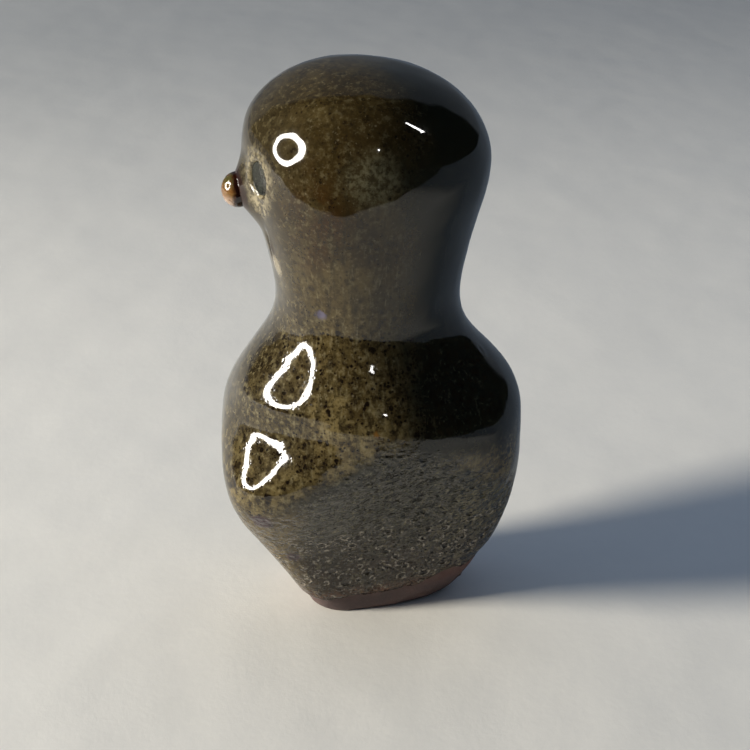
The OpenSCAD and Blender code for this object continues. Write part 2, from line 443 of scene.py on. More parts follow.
def make_coat(settings, face):
    tree = model_tree("glaze_coat", "head_clay", "body_clay")
    coat_tree = model_tree("glaze_coat")
    axis_y = AXIS_Y
    centre_height = CROWN_HEIGHT - 15 * MM
    blend_height = 14 * MM
    edges = edge_heights(coat_tree, 240, axis_y)

    def edge_at(point):
        turn = math.atan2(point.y - axis_y, point.x) % math.tau
        place = turn / math.tau * len(edges)
        k = int(place) % len(edges)
        share = place - int(place)
        ragged = 0.28 * MM * rough(point, 3.0 * MM, 4.0) + 0.12 * MM * rough(point, 0.9 * MM, 9.0)
        height = edges[k] + (edges[(k + 1) % len(edges)] - edges[k]) * share
        return height + ragged + 0.3 * MM

    bm = bmesh.new()
    edge_layer = bm.verts.layers.float.new("above_edge")
    heights = [centre_height * i / settings.wall_rows for i in range(settings.wall_rows + 1)]
    spin_closed(
        bm, cage_points(axis_y, CAGE_RADIUS, centre_height, heights, settings.dome_rows),
        settings.columns, axis_y,
    )
    for vert in bm.verts:
        if vert.co.z < blend_height:
            low = edge_at(vert.co)
            vert.co.z = low + vert.co.z * (blend_height - low) / blend_height
    land(bm, tree, axis_y, centre_height)
    inside = [v for v in bm.verts if not v.is_boundary]
    fill_opening(bm, BEAD_CENTRE, FORWARD, 5.0 * MM, 0.5 * MM, 160)
    for side in SIDES:
        middle, outward = eye_frame(side)
        fill_opening(bm, middle, outward, 2.8 * MM, 0.22 * MM, 80)
    relax(bm, inside, 34)
    bm.normal_update()
    for vert in inside:
        lump = rough(vert.co, settings.lump_size) + 0.4 * rough(vert.co, 0.35 * settings.lump_size, 3.0)
        vert.co += vert.normal * settings.lump_height * lump
    for vert in bm.verts:
        turn = math.atan2(vert.co.y - axis_y, vert.co.x) % math.tau
        place = edges[int(turn / math.tau * len(edges)) % len(edges)]
        vert[edge_layer] = min((vert.co.z - place) / MM, 20.0)
    press_flanks(bm)
    draw_out_beak(bm, face)
    press_eyes(bm, face)
    cut_throat_notch(bm)
    raise_blisters(bm, coat_tree)
    roll_edge(bm, axis_y)
    line_inside(bm, model_tree("head_clay", "body_clay"), axis_y, centre_height)
    return bm


def roll_edge(bm, axis_y):
    """Turns the lower edge of the coat under in three short steps, down to the clay."""
    steps = ((0.10, 0.12), (0.16, 0.06), (0.24, -0.02))
    for inward, down in steps:
        rim = [e for e in bm.edges if e.is_boundary]
        made = bmesh.ops.extrude_edge_only(bm, edges=rim)["geom"]
        for vert in (g for g in made if isinstance(g, bmesh.types.BMVert)):
            out = Vector((vert.co.x, vert.co.y - axis_y, 0.0)).normalized()
            vert.co -= out * inward * MM + UP * down * MM


def line_inside(bm, clay_tree, axis_y, centre_height):
    """A coarse inner skin lying on the clay, bridged to the rolled edge."""
    outer_rim = [e for e in bm.edges if e.is_boundary]
    lining = bmesh.new()
    heights = [9.5 * MM + (centre_height - 9.5 * MM) * i / 40 for i in range(41)]
    spin_closed(
        lining, cage_points(axis_y, CAGE_RADIUS, centre_height, heights, 16), 75, axis_y
    )
    land(lining, clay_tree, axis_y, centre_height)
    for vert in lining.verts:
        inward = Vector((0, axis_y, min(vert.co.z, centre_height))) - vert.co
        vert.co += inward.normalized() * 0.25 * MM
    press_flanks(lining)
    bmesh.ops.reverse_faces(lining, faces=lining.faces)
    scratch = bpy.data.meshes.new("coat_lining")
    lining.to_mesh(scratch)
    lining.free()
    before = set(bm.edges)
    bm.from_mesh(scratch)
    bpy.data.meshes.remove(scratch)
    inner_rim = [e for e in bm.edges if e not in before and e.is_boundary]
    bmesh.ops.bridge_loops(bm, edges=outer_rim + inner_rim)


# ---------------------------------------------------------------- clay, beak and eyes


def make_body_clay(settings):
    tree = model_tree("body_clay")
    axis_y = FOOT_AXIS_Y
    bm = bmesh.new()
    foot_rows = [0.2 * MM * i for i in range(50)]
    upper_rows = [10 * MM + (SEAM_HEIGHT - 10.3 * MM) * i / 26 for i in range(27)]
    points = [Vector((CAGE_RADIUS, axis_y, z)) for z in foot_rows + upper_rows]
    spin_closed(bm, points, settings.columns, axis_y)
    for vert in bm.verts:
        vert.co.z = max(vert.co.z, 0.05 * MM)
    land(bm, tree, axis_y, SEAM_HEIGHT)
    relax(bm, [v for v in bm.verts if not v.is_boundary], 14)
    press_flanks(bm)
    bm.normal_update()
    for vert in bm.verts:
        grit = rough(vert.co, 1.1 * MM, 2.0) + 0.6 * rough(vert.co, 0.45 * MM, 5.0)
        wobble = rough(vert.co, 5 * MM, 7.0)
        out = Vector((vert.co.x, vert.co.y - axis_y, 0.0)).normalized()
        vert.co += out * (0.035 * MM * grit + 0.12 * MM * wobble)
        if vert.co.z < 0.8 * MM:
            curl = 1 - vert.co.z / (0.8 * MM)
            vert.co -= out * 0.45 * MM * curl * curl
    low = [v for v in bm.verts if v.is_boundary and v.co.z < SEAM_HEIGHT / 2]
    for vert in low:
        vert.co.z = 0.0
    rims = [e for e in bm.edges if e.is_boundary]
    for rim in (
        [e for e in rims if e.verts[0].co.z < SEAM_HEIGHT / 2],
        [e for e in rims if e.verts[0].co.z > SEAM_HEIGHT / 2],
    ):
        close_rim(bm, rim)
    return bm


def close_rim(bm, rim):
    """Closes a flat rim with one inset ring and a middle face."""
    face = bmesh.ops.contextual_create(bm, geom=rim)["faces"]
    bmesh.ops.inset_individual(bm, faces=face, thickness=1.2 * MM, use_even_offset=True)


def make_bead():
    """The beak bead: taller than wide and slightly uneven."""
    bm = bmesh.new()
    bmesh.ops.create_icosphere(bm, subdivisions=6, radius=BEAD_RADIUS)
    tall = Vector((0.96, 1.0, 1.12))
    for vert in bm.verts:
        vert.co = Vector(a * b for a, b in zip(vert.co, tall))
        uneven = rough(vert.co, 1.6 * MM, 1.0)
        vert.co *= 1 + 0.035 * uneven
    bmesh.ops.translate(bm, verts=bm.verts, vec=BEAD_CENTRE)
    return bm


def make_pool(side, face):
    """The glass standing in an eye: a lens with a dished top."""
    middle, outward = eye_frame(side)
    bm = bmesh.new()
    radius = 0.95 * face.eye_radius
    # Seen from the side: share of the radius, and millimetres out from the rim
    dish = [(r, -0.62 + 0.26 * r**2) for r in (0, 0.2, 0.4, 0.6, 0.8, 0.93, 1.0)]
    floor = [(0.97, -0.75), (0.5, -0.98), (0, -1.02)]
    spin_closed(bm, [Vector((radius * r, 0, level * MM)) for r, level in dish + floor], 48)
    for vert in bm.verts:
        vert.co.z += 0.03 * MM * rough(vert.co, 0.9 * MM, 6.0)
    turn = outward.to_track_quat("Z", "Y").to_matrix().to_4x4()
    bmesh.ops.transform(bm, matrix=Matrix.Translation(middle) @ turn, verts=bm.verts)
    return bm


# ---------------------------------------------------------------- node helpers


class Graph:
    """Short way to add nodes to a material or a group."""

    def __init__(self, tree):
        self.tree = tree

    def add(self, kind, inputs=None, **settings):
        node = self.tree.nodes.new(kind)
        for key, value in settings.items():
            setattr(node, key, value)
        for key, value in (inputs or {}).items():
            if isinstance(value, bpy.types.NodeSocket):
                self.tree.links.new(value, node.inputs[key])
            else:
                node.inputs[key].default_value = value
        return node

    def math(self, operation, a, b=0.0, clamp=False):
        return self.add("ShaderNodeMath", {0: a, 1: b}, operation=operation, use_clamp=clamp).outputs[0]

    def product(self, *factors):
        result = factors[0]
        for factor in factors[1:]:
            result = self.math("MULTIPLY", result, factor)
        return result

    def vector(self, operation, a, b=(0.0, 0.0, 0.0)):
        node = self.add("ShaderNodeVectorMath", {0: a, 1: b}, operation=operation)
        return node.outputs["Value" if operation in ("DISTANCE", "LENGTH", "DOT_PRODUCT") else "Vector"]

    def noise(self, vector, scale, detail=3.0, roughness=0.55):
        return self.add(
            "ShaderNodeTexNoise",
            {"Vector": vector, "Scale": scale, "Detail": detail, "Roughness": roughness},
        ).outputs["Fac"]

    def remap(self, value, low, high, to_low=0.0, to_high=1.0):
        return self.add(
            "ShaderNodeMapRange",
            {0: value, 1: low, 2: high, 3: to_low, 4: to_high},
            interpolation_type="SMOOTHSTEP",
        ).outputs[0]

    def mix(self, share, a, b):
        node = self.add("ShaderNodeMix", {0: share}, data_type="RGBA")
        for index, value in ((6, a), (7, b)):
            if isinstance(value, bpy.types.NodeSocket):
                self.tree.links.new(value, node.inputs[index])
            else:
                node.inputs[index].default_value = (*value[:3], 1.0)
        return node.outputs[2]

    def tint(self, color, shade, *masks):
        """A colour turned towards a shade where all the masks together let it."""
        return self.mix(self.product(*masks), color, shade)

    def group(self, name, inputs):
        node = self.add("ShaderNodeGroup", node_tree=bpy.data.node_groups[name])
        for key, value in inputs.items():
            if isinstance(value, bpy.types.NodeSocket):
                self.tree.links.new(value, node.inputs[key])
            else:
                node.inputs[key].default_value = value
        return node

    def specks(self, place, scale, radius, share, softness):
        """Mask and domes of the shared speck pattern."""
        sizes = {"Scale": scale, "Radius": radius, "Share": share, "Softness": softness}
        return self.group("specks", {"Vector": place, **sizes}).outputs

    def relief(self, shader, height, strength=1.0):
        """Bumps a shader's normal by a height in millimetres."""
        bump = self.add("ShaderNodeBump", {"Strength": strength, "Distance": MM, "Height": height})
        self.tree.links.new(bump.outputs[0], shader.inputs["Normal"])


def new_group(name, inputs, outputs):
    """An empty node group with named sockets, and its ends."""
    tree = bpy.data.node_groups.new(name, "ShaderNodeTree")
    for label, kind, default in inputs:
        socket = tree.interface.new_socket(label, in_out="INPUT", socket_type=kind)
        if default is not None:
            socket.default_value = default
    for label, kind in outputs:
        tree.interface.new_socket(label, in_out="OUTPUT", socket_type=kind)
    start = tree.nodes.new("NodeGroupInput")
    end = tree.nodes.new("NodeGroupOutput")
    return Graph(tree), start.outputs, end.inputs


VALUE, VECTOR = "NodeSocketFloat", "NodeSocketVector"


def build_specks_group():
    """Round specks: one in each cell of a random grid, some left out, of mixed sizes."""
    g, start, end = new_group(
        "specks",
        [("Vector", VECTOR, None), ("Scale", VALUE, 1.0), ("Radius", VALUE, 0.3),
         ("Share", VALUE, 0.5), ("Softness", VALUE, 0.08)],
        [("Mask", VALUE), ("Dome", VALUE)],
    )
    cells = g.add("ShaderNodeTexVoronoi", {"Vector": start["Vector"], "Scale": start["Scale"]})
    split = g.add("ShaderNodeSeparateColor", {0: cells.outputs["Color"]})
    kept = g.math("LESS_THAN", split.outputs[0], start["Share"])
    size = g.product(start["Radius"], g.remap(split.outputs[1], 0.0, 1.0, 0.45, 1.0))
    inner = g.math("SUBTRACT", size, start["Softness"])
    edge = g.math("SUBTRACT", cells.outputs["Distance"], inner)
    fade = g.math("DIVIDE", edge, start["Softness"])
    mask = g.product(g.math("SUBTRACT", 1.0, fade, clamp=True), kept)
    reach = g.math("DIVIDE", cells.outputs["Distance"], size)
    dome = g.product(g.math("SUBTRACT", 1.0, reach, clamp=True), kept)
    g.tree.links.new(mask, end["Mask"])
    g.tree.links.new(dome, end["Dome"])


def build_rings_group():
    """Burst bubbles: thin crescents round shallow pits, the masks for a painted highlight on each rim and
    painted shade in each pit.
    """
    g, start, end = new_group(
        "bubble_rings",
        [("Vector", VECTOR, None), ("Scale", VALUE, 1.0), ("Radius", VALUE, 0.3),
         ("Share", VALUE, 0.5)],
        [("Ring", VALUE), ("Pit", VALUE)],
    )
    cells = g.add("ShaderNodeTexVoronoi", {"Vector": start["Vector"], "Scale": start["Scale"]})
    split = g.add("ShaderNodeSeparateColor", {0: cells.outputs["Color"]})
    kept = g.math("LESS_THAN", split.outputs[0], start["Share"])
    size = g.product(start["Radius"], g.remap(split.outputs[1], 0.0, 1.0, 0.5, 1.0))
    off = g.math("ABSOLUTE", g.math("SUBTRACT", cells.outputs["Distance"], size))
    ring = g.math("SUBTRACT", 1.0, g.math("DIVIDE", off, 0.13), clamp=True)
    broken = g.remap(g.noise(start["Vector"], 2.3, 2.0), 0.45, 0.6)
    pit = g.math("SUBTRACT", 1.0, g.math("DIVIDE", cells.outputs["Distance"], size), clamp=True)
    g.tree.links.new(g.product(g.product(ring, broken), kept), end["Ring"])
    g.tree.links.new(g.product(pit, kept), end["Pit"])


def build_runs_group():
    """Vertical runs where the glaze slid down before it set."""
    g, start, end = new_group(
        "runs",
        [("Vector", VECTOR, None), ("Width", VALUE, 1.5), ("Length", VALUE, 9.0)],
        [("Mask", VALUE)],
    )
    split = g.add("ShaderNodeSeparateXYZ", {0: start["Vector"]})
    sideways = g.math("DIVIDE", 1.0, start["Width"])
    upward = g.math("DIVIDE", 1.0, start["Length"])
    squeezed = g.add(
        "ShaderNodeCombineXYZ",
        {0: g.product(split.outputs[0], sideways),
         1: g.product(split.outputs[1], sideways),
         2: g.product(split.outputs[2], upward)},
    )
    g.tree.links.new(g.noise(squeezed.outputs[0], 1.0, 3.0, 0.6), end["Mask"])


def new_material(name):
    """A material with only its shader and output, and millimetre coordinates."""
    material = bpy.data.materials.new(name)
    material.use_nodes = True
    tree = material.node_tree
    tree.nodes.clear()
    g = Graph(tree)
    shader = g.add("ShaderNodeBsdfPrincipled")
    output = g.add("ShaderNodeOutputMaterial")
    tree.links.new(shader.outputs[0], output.inputs[0])
    place = g.add("ShaderNodeTexCoord").outputs["Object"]
    millimetres = g.add("ShaderNodeVectorMath", {0: place, "Scale": 1000.0}, operation="SCALE").outputs[0]
    return material, g, shader, millimetres


# Iron specks: cells to a millimetre, radius in a cell, share of cells filled, strength
IRON_SPECKS = ((0.6, 0.38, 0.4, 1.0), (1.05, 0.43, 0.7, 1.0), (1.9, 0.45, 0.8, 0.95))
# Single marks on the glaze: place, inner and outer reach in millimetres, colour
MARKS = (
    ((17.6, -2.3, 33.9), 0.35, 1.0, (0.42, 0.19, 0.04)),
    ((17.6, -2.6, 32.6), 0.15, 0.55, (0.32, 0.045, 0.01)),
    ((11.7, -16.0, 19.7), 1.0, 2.0, (0.045, 0.028, 0.040)),
    ((8.8, -11.9, 11.1), 0.7, 1.5, (0.050, 0.030, 0.042)),
    ((9.8, -7.3, 47.4), 0.6, 1.15, (0.110, 0.100, 0.160)),
    ((4.0, -12.0, 51.6), 0.7, 1.9, (0.300, 0.260, 0.180)),
    ((4.4, -12.5, 54.1), 0.25, 0.8, (0.020, 0.010, 0.006)),
    ((-15.5, 3.0, 40.0), 0.4, 1.2, (0.28, 0.13, 0.03)),
    ((-9.5, -15.0, 17.0), 0.6, 1.5, (0.045, 0.028, 0.040)),
)


def near(g, place, point_mm, inner, outer):
    """1 within inner millimetres of a point, fading to 0 at outer."""
    return g.remap(g.vector("DISTANCE", place, point_mm), inner, outer, 1.0, 0.0)


# ---------------------------------------------------------------- materials


def glaze_material(settings):
    material, g, shader, mm = new_material("stoneware_glaze")
    split = g.add("ShaderNodeSeparateXYZ", {0: mm})
    side, front, height = split.outputs[0], split.outputs[1], split.outputs[2]
    broad = g.noise(mm, 0.13, 3.0)
    cloud = g.noise(mm, 0.42, 4.0, 0.6)
    grain = g.noise(mm, 1.25, 5.0, 0.68)
    salt = g.noise(mm, 2.6, 3.0, 0.6)
    runs = g.group("runs", {"Vector": mm, "Width": 1.1, "Length": 7.0}).outputs[0]
    narrow_runs = g.group("runs", {"Vector": mm, "Width": 0.42, "Length": 4.0}).outputs[0]

    # The pressed flank, from its rim down: the rim peaks at the middle of each side
    off_middle = g.math("SUBTRACT", g.math("ABSOLUTE", g.math("SUBTRACT", front, 0.3)), 1.5)
    fall = g.product(g.math("MAXIMUM", off_middle, 0.0), 0.72)
    wander = g.product(g.math("SUBTRACT", cloud, 0.5), 5.0)
    above_rim = g.math("SUBTRACT", g.math("ADD", g.math("ADD", height, fall), wander), 33.0)
    pressed = g.remap(above_rim, 0.6, -3.4)
    hollow = g.product(pressed, g.remap(g.math("ABSOLUTE", side), 2.5, 6.5))

    # Black-green over the back: partly the thickly laid glaze, partly painted shade on the side turned
    # away from the key light
    around = g.math("ADD", front, g.product(g.math("SUBTRACT", broad, 0.5), 12.0))
    around = g.math("ADD", around, g.product(g.math("SUBTRACT", grain, 0.5), 5.0))
    thick_and_shaded_back = g.product(g.remap(around, -1.5, 5.5), g.remap(height, 26.0, 31.0, 0.12, 1.0))

    # Above the rim: olive over brown, amber where it ran thin
    color = g.mix(g.remap(broad, 0.36, 0.6), (0.046, 0.031, 0.011), settings.olive)
    amber = g.product(near(g, mm, (9.0, -9.0, 60.5), 4.0, 9.0), g.remap(cloud, 0.35, 0.6))
    color = g.tint(color, (0.048, 0.019, 0.004), amber, 0.95)
    ochre = g.product(g.remap(height, 43.0, 36.0), g.remap(cloud, 0.4, 0.62))
    color = g.tint(color, (0.170, 0.130, 0.054), ochre, 0.8)
    thick_glaze_and_shade = g.product(g.remap(runs, 0.47, 0.62), 0.6)
    color = g.mix(thick_glaze_and_shade, color, (0.026, 0.020, 0.009))
    pale_runs = g.product(g.remap(narrow_runs, 0.56, 0.7), g.remap(height, 62.0, 52.0))
    color = g.tint(color, (0.21, 0.18, 0.105), pale_runs, 0.45)

    # Inside the hollow: dull grey-green at the top, umber below, tan towards the back
    deep = g.mix(g.remap(cloud, 0.38, 0.6), settings.hollow_grey, (0.026, 0.026, 0.019))
    tan = g.product(g.remap(front, 5.0, 12.0), g.remap(height, 25.0, 19.0))
    deep = g.tint(deep, (0.150, 0.125, 0.060), tan, g.remap(grain, 0.42, 0.58, 0.35, 0.95))
    umber = g.product(g.remap(height, 19.0, 7.0), g.remap(cloud, 0.36, 0.58, 0.5, 1.0))
    deep = g.tint(deep, (0.046, 0.028, 0.018), umber, 0.85)
    ridge = g.product(g.remap(front, -9.0, -13.0), g.remap(height, 25.0, 20.0))
    deep = g.tint(deep, (0.170, 0.120, 0.048), ridge, g.remap(cloud, 0.3, 0.5, 0.4, 1.0))
    deep = g.mix(0.28, deep, (0.008, 0.008, 0.006))
    color = g.mix(g.remap(height, 53.0, 57.0, 0.0, 0.36), color, (0.020, 0.013, 0.003))
    color = g.tint(color, deep, hollow, 0.95)
    color = g.tint(color, settings.black_green_and_back_shade, thick_and_shaded_back, 0.97)

    # Salt and pepper of the melt, quieter on the head and neck
    loud = g.remap(height, 50.0, 43.0, 0.5, 1.0)
    # Painted shade: the front of the upper body, which faces the key light, is turned darker brown
    shade_painted_on_key_side = g.product(g.remap(front, -7.0, -13.0), g.remap(height, 22.0, 32.0))
    color = g.tint(color, (0.036, 0.028, 0.014), shade_painted_on_key_side, 0.78)
    cloudy = near(g, mm, (14.5, -2.0, 65.5), 1.0, 4.5)
    color = g.tint(color, (0.150, 0.140, 0.085), cloudy, g.remap(grain, 0.4, 0.6, 0.2, 0.8))
    open_glaze = g.math("SUBTRACT", 1.0, g.product(hollow, 0.45))
    lit = g.math("SUBTRACT", 1.0, g.product(thick_and_shaded_back, 0.85))
    color = g.tint(color, (0.25, 0.215, 0.12), g.remap(grain, 0.52, 0.66), lit, loud, 0.42)
    color = g.tint(color, (0.016, 0.011, 0.005), g.remap(grain, 0.49, 0.40), open_glaze, loud, 0.8)
    color = g.tint(color, settings.cream, g.remap(salt, 0.62, 0.74), lit, 0.22)

    # Iron specks, thickest over the shoulder and breast
    dense = g.product(loud, open_glaze)
    clump = g.remap(cloud, 0.62, 0.42, 0.4, 1.0)
    domes = []
    for scale, radius, share, strength in IRON_SPECKS:
        mask, dome = g.specks(mm, scale, radius, share, 0.14)
        color = g.tint(color, (0.008, 0.005, 0.003), mask, dense, clump, strength)
        domes.append(dome)
    iron_height = g.math("ADD", g.math("ADD", domes[0], domes[1]), domes[2])
    flecks = g.specks(mm, 0.9, 0.18, 0.3, 0.1)
    color = g.tint(color, settings.cream, flecks[0], lit, 0.28)

    # Burst bubbles in the hollow, larger towards the foot: real shallow pits, with painted shade in them
    # and painted highlight crescents on their rims
    squat = g.vector("MULTIPLY", mm, (1.0, 0.95, 1.1))
    rings = g.group("bubble_rings", {"Vector": squat, "Scale": 0.68, "Radius": 0.46, "Share": 0.85})
    small_rings = g.group("bubble_rings", {"Vector": squat, "Scale": 1.6, "Radius": 0.46, "Share": 0.9})
    low = g.product(hollow, g.remap(height, 19.0, 14.0))
    color = g.tint(color, (0.014, 0.010, 0.007), rings.outputs[1], low, 0.9)
    color = g.tint(color, (0.014, 0.013, 0.010), small_rings.outputs[1], hollow, 0.8)
    color = g.tint(color, (0.42, 0.37, 0.30), rings.outputs[0], low, 0.9)
    color = g.tint(color, (0.19, 0.18, 0.14), small_rings.outputs[0], hollow, 0.6)

    # Single marks: cream round the eyes, an amber run, iron and manganese spots
    for side_name in SIDES:
        middle, _ = eye_frame(side_name)
        spot = tuple(middle / MM)
        outside = g.remap(g.vector("DISTANCE", mm, spot), 1.9, 2.3)
        ring = g.product(near(g, mm, spot, 2.2, 4.4), outside)
        below = (spot[0] - 0.6, spot[1] + 0.2, spot[2] - 3.2)
        ring = g.math("MAXIMUM", g.product(ring, 0.75), near(g, mm, below, 0.8, 2.6))
        ring = g.product(ring, g.remap(grain, 0.42, 0.58, 0.15, 0.85))
        color = g.mix(ring, color, settings.cream)
    run = near(g, mm, tuple(BEAD_CENTRE / MM), 2.55, 3.3)
    color = g.tint(color, (0.020, 0.007, 0.004), run, 0.95)
    wobble = g.product(g.math("SUBTRACT", grain, 0.5), 1.2)
    for place, inner, outer, shade in MARKS:
        reach = g.math("ADD", g.vector("DISTANCE", mm, place), wobble)
        color = g.tint(color, shade, g.remap(reach, inner, outer, 1.0, 0.0), 0.85)

    # Rust and a thin dark line where the glaze thins out above the foot
    edge = g.add("ShaderNodeAttribute", attribute_name="above_edge").outputs["Fac"]
    rust = g.product(g.remap(edge, 2.6, 0.2), g.remap(cloud, 0.4, 0.6, 0.2, 0.9))
    color = g.mix(rust, color, (0.135, 0.048, 0.022))
    color = g.mix(g.product(g.remap(edge, 0.75, 0.3), 0.8), color, (0.016, 0.009, 0.006))
    g.tree.links.new(color, shader.inputs["Base Color"])

    dull = g.remap(grain, 0.3, 0.7, 0.09, 0.24)
    gloss = g.remap(cloud, 0.3, 0.7, 0.035, 0.075)
    finish = g.add("ShaderNodeMix", {0: hollow, 2: gloss, 3: dull}, data_type="FLOAT").outputs[0]
    g.tree.links.new(finish, shader.inputs["Roughness"])
    shader.inputs["IOR"].default_value = 1.52

    pits = g.math("ADD", g.product(rings.outputs[1], -0.45), g.product(small_rings.outputs[1], -0.25))
    crinkle = g.product(g.noise(mm, 1.0, 1.0, 0.4), 0.75)
    calm_front = g.remap(front, -9.0, 2.0, 0.35, 1.0)
    pressed_relief = g.product(g.math("ADD", pits, crinkle), hollow, calm_front)
    skin = g.product(g.noise(mm, 0.5, 2.0, 0.5), 0.012)
    grainy = g.product(g.product(iron_height, -0.006), g.remap(height, 56.0, 44.0))
    g.relief(shader, g.math("ADD", g.math("ADD", skin, grainy), pressed_relief))
    return material


def clay_material(settings):
    material, g, shader, mm = new_material("bare_stoneware")
    fine = g.noise(mm, 2.2, 5.0, 0.7)
    cloud = g.noise(mm, 0.35, 3.0)
    height = g.add("ShaderNodeSeparateXYZ", {0: mm}).outputs[2]
    color = g.mix(g.remap(cloud, 0.35, 0.65), settings.mauve, (0.085, 0.056, 0.054))
    color = g.mix(g.product(g.remap(fine, 0.5, 0.75), 0.5), color, settings.grog)
    flash = g.product(g.remap(height, 2.5, 6.0), g.remap(cloud, 0.4, 0.6, 0.3, 1.0))
    color = g.tint(color, settings.rust, flash, 0.7)
    grit = g.specks(mm, 1.9, 0.3, 0.3, 0.15)
    color = g.tint(color, settings.grog, grit[0], 0.35)
    g.tree.links.new(color, shader.inputs["Base Color"])
    g.tree.links.new(g.remap(fine, 0.3, 0.7, 0.62, 0.85), shader.inputs["Roughness"])
    g.relief(shader, g.math("ADD", g.product(fine, 0.12), g.product(grit[1], 0.05)))
    return material


def honey_material(settings):
    material, g, shader, mm = new_material("amber_melt")
    split = g.add("ShaderNodeSeparateXYZ", {0: mm})
    cloud = g.noise(mm, 0.8, 3.0)
    front = g.math("ADD", split.outputs[1], g.product(g.math("SUBTRACT", cloud, 0.5), 1.6))
    middle = BEAD_CENTRE.y / MM
    # Painted shade: the back of the bead turns dark brown, a shaded copy of the honey colour
    thick_glaze_and_shade = g.remap(front, middle - 1.0, middle - 0.3)
    patches = g.noise(mm, 1.7, 3.0)
    up = g.math("SUBTRACT", split.outputs[2], BEAD_CENTRE.z / MM)
    color = g.mix(g.remap(patches, 0.4, 0.6), settings.honey, (0.17, 0.075, 0.022))
    color = g.mix(g.remap(up, 0.3, 1.6), color, (0.075, 0.066, 0.024))
    crust = g.remap(patches, 0.38, 0.5, 0.35, 1.0)
    color = g.tint(color, (0.50, 0.37, 0.29), g.remap(up, -0.1, -1.2), crust)
    color = g.mix(g.product(g.remap(patches, 0.46, 0.36), 0.7), color, (0.11, 0.04, 0.012))
    color = g.mix(thick_glaze_and_shade, color, settings.beak_shade_brown)
    g.tree.links.new(color, shader.inputs["Base Color"])
    g.tree.links.new(g.remap(cloud, 0.3, 0.7, 0.05, 0.12), shader.inputs["Roughness"])
    shader.inputs["IOR"].default_value = 1.52
    shader.inputs["Coat Weight"].default_value = 0.4
    g.relief(shader, g.product(patches, 0.08), 0.6)
    return material


def eye_material(settings):
    material, g, shader, mm = new_material("pooled_glaze")
    cloud = g.noise(mm, 1.3, 4.0)
    color = g.mix(g.remap(cloud, 0.36, 0.66), (0.010, 0.010, 0.007), settings.eye_green)
    flecks = g.specks(mm, 2.2, 0.2, 0.25, 0.1)
    color = g.tint(color, (0.20, 0.19, 0.13), flecks[0], 0.4)
    g.tree.links.new(color, shader.inputs["Base Color"])
    g.tree.links.new(g.remap(cloud, 0.3, 0.7, 0.04, 0.10), shader.inputs["Roughness"])
    shader.inputs["IOR"].default_value = 1.36
    g.relief(shader, g.product(cloud, 0.15), 0.7)
    return material


def material_once(name, build, settings):
    return bpy.data.materials.get(name) or build(settings)


# ---------------------------------------------------------------- stage


def direction(angle, rise):
    """Unit vector at an angle round the bird from its front, and above the floor."""
    flat = math.cos(rise)
    return Vector((math.sin(angle) * flat, -math.cos(angle) * flat, math.sin(rise)))


def glowing(name, color, strength):
    material = bpy.data.materials.new(name)
    material.use_nodes = True
    tree = material.node_tree
    tree.nodes.clear()
    g = Graph(tree)
    light = g.add("ShaderNodeEmission", {"Color": (*color, 1.0), "Strength": strength})
    output = g.add("ShaderNodeOutputMaterial")
    tree.links.new(light.outputs[0], output.inputs[0])
    return material


def stage_object(bm, name, material):
    mesh = bpy.data.meshes.new(name)
    bm.to_mesh(mesh)
    bm.free()
    mesh.materials.append(material)
    piece = bpy.data.objects.new(name, mesh)
    bpy.context.scene.collection.objects.link(piece)
    return piece


def aimed(place, target):
    """Matrix that stands at a place with +Z pointing at the target."""
    turn = (target - place).to_track_quat("Z", "Y").to_matrix().to_4x4()
    return Matrix.Translation(place) @ turn


def only_mirrored(lamp):
    """Lets a lamp show in the glaze and nowhere else; the key light does the lighting."""
    lamp.visible_camera = False
    lamp.visible_diffuse = False
    lamp.visible_shadow = False


# Points that the lamps look at
LOW_TARGET = Vector((0, 0, 35 * MM))
HIGH_TARGET = Vector((0, 0, 45 * MM))
RING_RADIUS, RING_TUBE_RADIUS = 0.125, 0.024
LAMP_CREAM, LAMP_WHITE, KEY_CREAM = (1.0, 0.96, 0.88), (1.0, 0.98, 0.94), (1.0, 0.93, 0.79)
SMALL_LAMP_DISTANCE, SMALL_LAMP_STRENGTH = 0.6, 60.0
# Small lamps: name, angle from the front, angle above the floor, width, height and roll
SMALL_LAMPS = (
    ("dot_lamp", 104, 30, 0.020, 0.020, 0.0),
    ("dash_lamp", 159, 46, 0.020, 0.17, 0.15),
)


def make_ring_lamp(stage):
    place = LOW_TARGET + direction(stage.lamp_angle, stage.lamp_rise) * stage.lamp_distance
    bm = bmesh.new()
    tube = bmesh.ops.create_circle(bm, segments=16, radius=RING_TUBE_RADIUS)
    bmesh.ops.rotate(bm, verts=bm.verts, cent=(0, 0, 0), matrix=Matrix.Rotation(math.pi / 2, 3, "X"))
    bmesh.ops.translate(bm, verts=bm.verts, vec=(RING_RADIUS, 0, 0))
    bmesh.ops.spin(
        bm, geom=tube["verts"] + list(bm.edges), cent=(0, 0, 0), axis=UP, dvec=(0, 0, 0),
        angle=math.tau, steps=64, use_merge=True, use_duplicate=False,
    )
    bmesh.ops.transform(bm, matrix=aimed(place, LOW_TARGET), verts=bm.verts)
    glow = glowing("warm_lamp", LAMP_CREAM, stage.lamp_strength)
    only_mirrored(stage_object(bm, "ring_lamp", glow))


def make_key_light(stage):
    """The disc that lights the bird and casts its shadow, unseen in the glaze."""
    lamp = bpy.data.lights.new("key", "AREA")
    lamp.shape = "DISK"
    lamp.size = 2 * stage.key_radius
    lamp.energy = stage.key_power
    lamp.color = KEY_CREAM
    key = bpy.data.objects.new("key", lamp)
    key.location = LOW_TARGET + direction(stage.lamp_angle, stage.lamp_rise) * stage.key_distance
    key.rotation_euler = (LOW_TARGET - key.location).to_track_quat("-Z", "Y").to_euler()
    key.visible_glossy = False
    bpy.context.scene.collection.objects.link(key)


